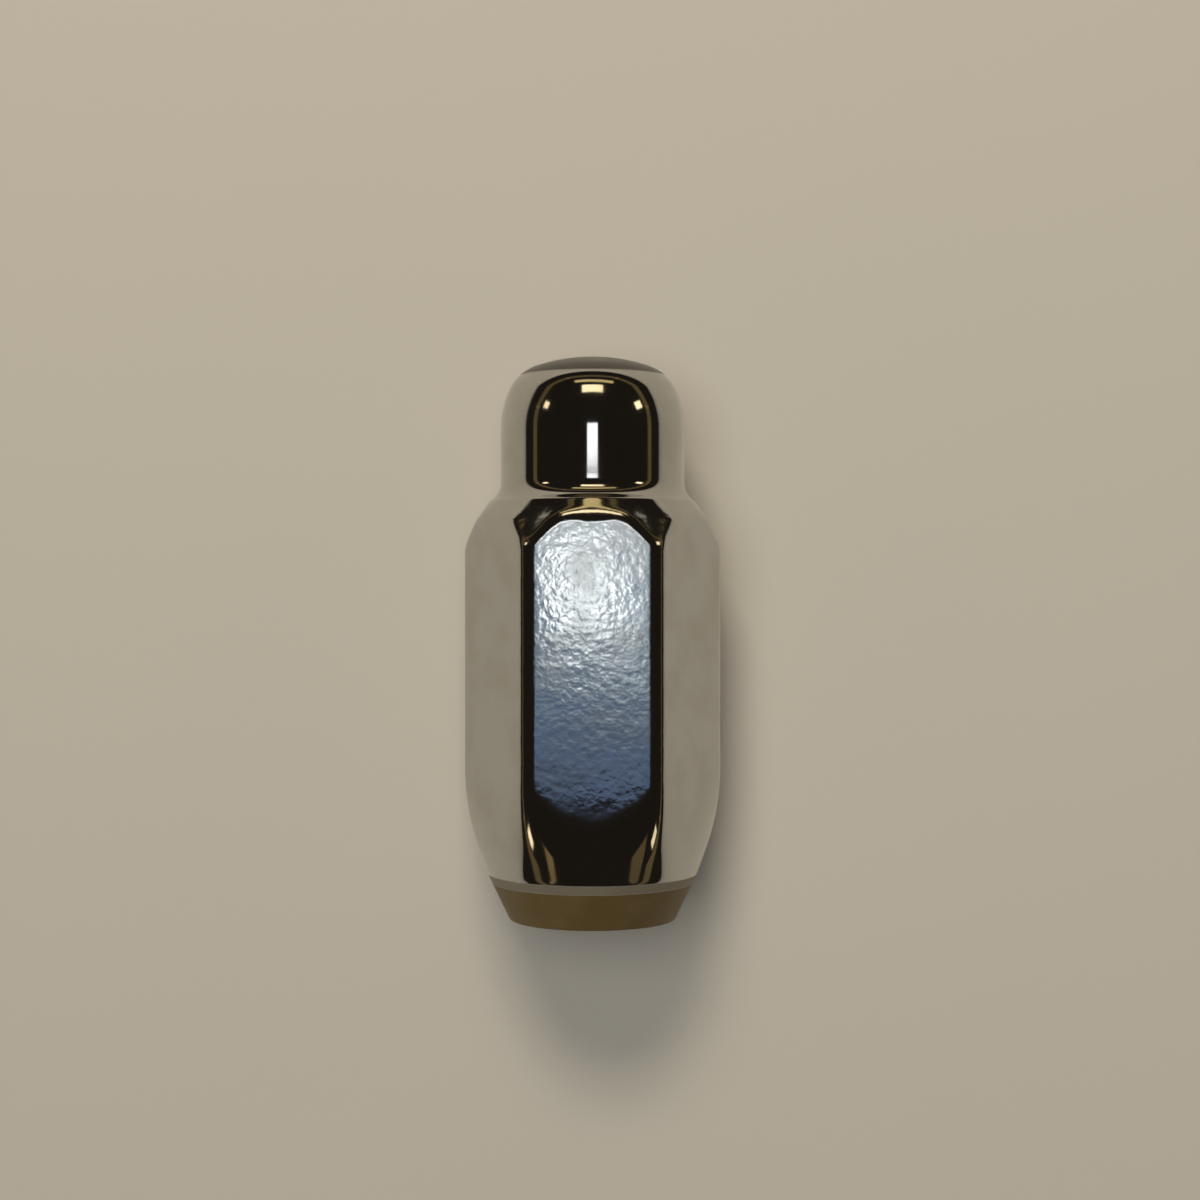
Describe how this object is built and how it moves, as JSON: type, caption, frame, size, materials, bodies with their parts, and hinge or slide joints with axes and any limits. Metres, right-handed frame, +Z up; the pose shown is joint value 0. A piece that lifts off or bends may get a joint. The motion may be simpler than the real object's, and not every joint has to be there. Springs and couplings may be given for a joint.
{
  "type": "lug nut",
  "caption": "Closed-end wheel nut with a hexagonal body, a conical seat at the open threaded end and a smaller rounded dome at the closed end, plated bright.",
  "frame": {"origin": "on the surface that the nut lies on, under the middle of its overall length", "axes": "+Z up, square to the hexagon flat that the nut rests on; the nut's own axis is horizontal along Y, with the closed domed end towards +Y and the open seat end towards -Y; +X across the hexagon's corners"},
  "size_m": [0.0216, 0.0472, 0.0191],
  "materials": {
    "bright_plating": "bright nickel-chrome plating on forged steel, polished with a faint orange peel; duller and brownish on the turned end of the seat"
  },
  "bodies": {
    "root": {"lug_nut": "bright_plating"}
  },
  "joints": []
}
